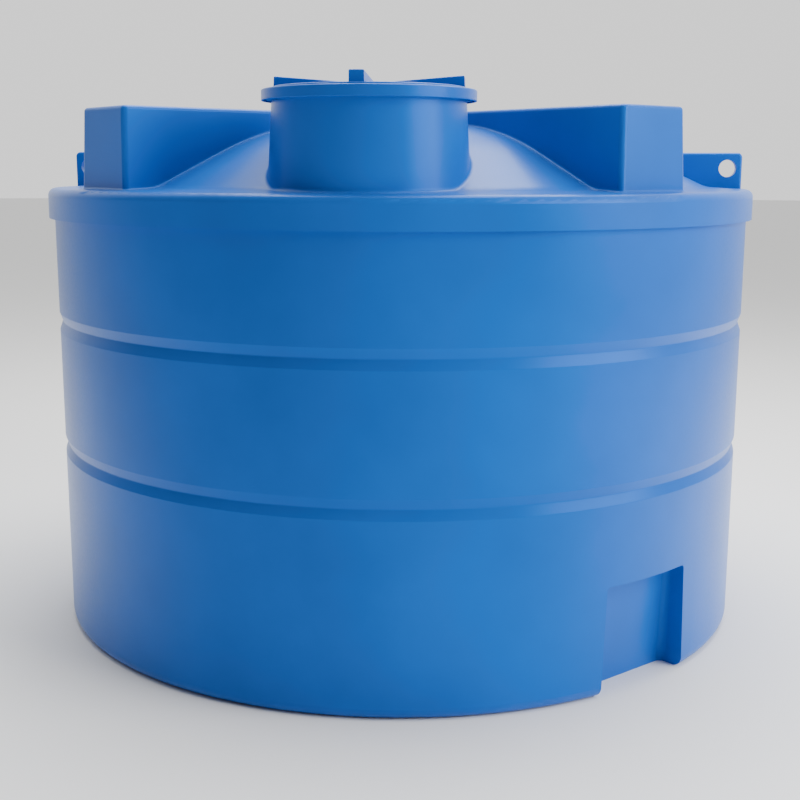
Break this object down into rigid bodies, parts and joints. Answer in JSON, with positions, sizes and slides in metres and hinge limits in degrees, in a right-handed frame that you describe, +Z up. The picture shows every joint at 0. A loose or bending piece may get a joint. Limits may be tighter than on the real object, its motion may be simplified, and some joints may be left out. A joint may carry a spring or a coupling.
{
  "type": "water storage tank",
  "caption": "Closed round upright water storage tank for livestock, with a domed roof, hoop grooves, lifting eyes, an offset screw-lid manway and a flat outlet recess.",
  "frame": {"origin": "centre of the flat base, on the ground", "axes": "+Z up, -Y towards the manway neck, lifting eyes on the X axis"},
  "size_m": [2.38, 2.3796, 1.7697],
  "materials": {
    "tank_polyethylene": "rotationally moulded, satin",
    "lid_polyethylene": "moulded, satin",
    "rubber": "moulded",
    "black_plastic": "moulded",
    "stainless_steel": "machined",
    "brass": "cast and machined",
    "chromed_brass": "polished",
    "ptfe": "machined",
    "plated_steel": "zinc plated",
    "red_vinyl": "dipped",
    "float_plastic": "blow moulded"
  },
  "bodies": {
    "tank": {"lower_shell": "tank_polyethylene", "manway_neck": "tank_polyethylene", "roof_crown": "tank_polyethylene", "shoulder_rear_right": "tank_polyethylene", "shoulder_rear_left": "tank_polyethylene", "shoulder_front_left": "tank_polyethylene", "shoulder_front_right": "tank_polyethylene", "lifting_eye_right": "tank_polyethylene", "lifting_eye_left": "tank_polyethylene", "dome_front": "tank_polyethylene", "dome_left": "tank_polyethylene", "dome_right": "tank_polyethylene", "dome_rear": "tank_polyethylene", "parting_rim": "tank_polyethylene", "outlet_connector": "black_plastic", "outlet_inner_seal": "rubber", "outlet_outer_seal": "rubber", "outlet_backnut": "black_plastic", "valve_body": "brass", "valve_end": "brass", "valve_seats": "ptfe", "valve_gland_nut": "brass", "float_valve_body": "brass", "inlet_backnut": "brass", "inlet_seals": "rubber", "float_pivot_pin": "stainless_steel", "overflow_connector": "black_plastic", "overflow_screen": "stainless_steel", "overflow_backnut": "black_plastic", "overflow_seals": "rubber", "overflow_elbow": "black_plastic"},
    "seal": {"lid_seal": "rubber"},
    "lid": {"lid": "lid_polyethylene", "vent_body": "black_plastic", "vent_cap": "black_plastic", "vent_nut": "black_plastic", "vent_screen": "stainless_steel"},
    "lever": {"valve_lever": "plated_steel", "lever_grip": "red_vinyl", "lever_nut": "stainless_steel", "valve_stem": "stainless_steel", "valve_ball": "chromed_brass"},
    "float_arm": {"float_arm": "brass", "float": "float_plastic", "float_locknuts": "brass"},
    "plunger": {"valve_plunger": "brass", "plunger_washer": "rubber"}
  },
  "joints": [
    {"name": "lid_lift", "type": "slide", "parent": "tank", "child": "seal", "axis": [0, 0, 1], "range_m": [0, 0.096]},
    {"name": "lid_turn", "type": "hinge", "parent": "seal", "child": "lid", "pos_m": [0, -0.865, 1.722], "axis": [0, 0, 1], "range_deg": [0, 1440]},
    {"name": "lever_turn", "type": "hinge", "parent": "tank", "child": "lever", "pos_m": [-0.83105, 0.83105, 0.10559], "axis": [0.0472, -0.0472, -0.9978], "range_deg": [0, 90]},
    {"name": "float_swing", "type": "hinge", "parent": "tank", "child": "float_arm", "pos_m": [-0.73529, 0.73529, 1.58207], "axis": [-0.7071, -0.7071, 0], "range_deg": [0, 50]},
    {"name": "plunger_slide", "type": "slide", "parent": "tank", "child": "plunger", "axis": [-0.7067, 0.7067, 0.0349], "range_m": [0, 0.0077]}
  ],
  "couplings": [
    {"joint": "lid_lift", "follows": "lid_turn", "m_per_rad": 0.0038197},
    {"joint": "plunger_slide", "follows": "float_swing", "m_per_rad": 0.008778}
  ]
}
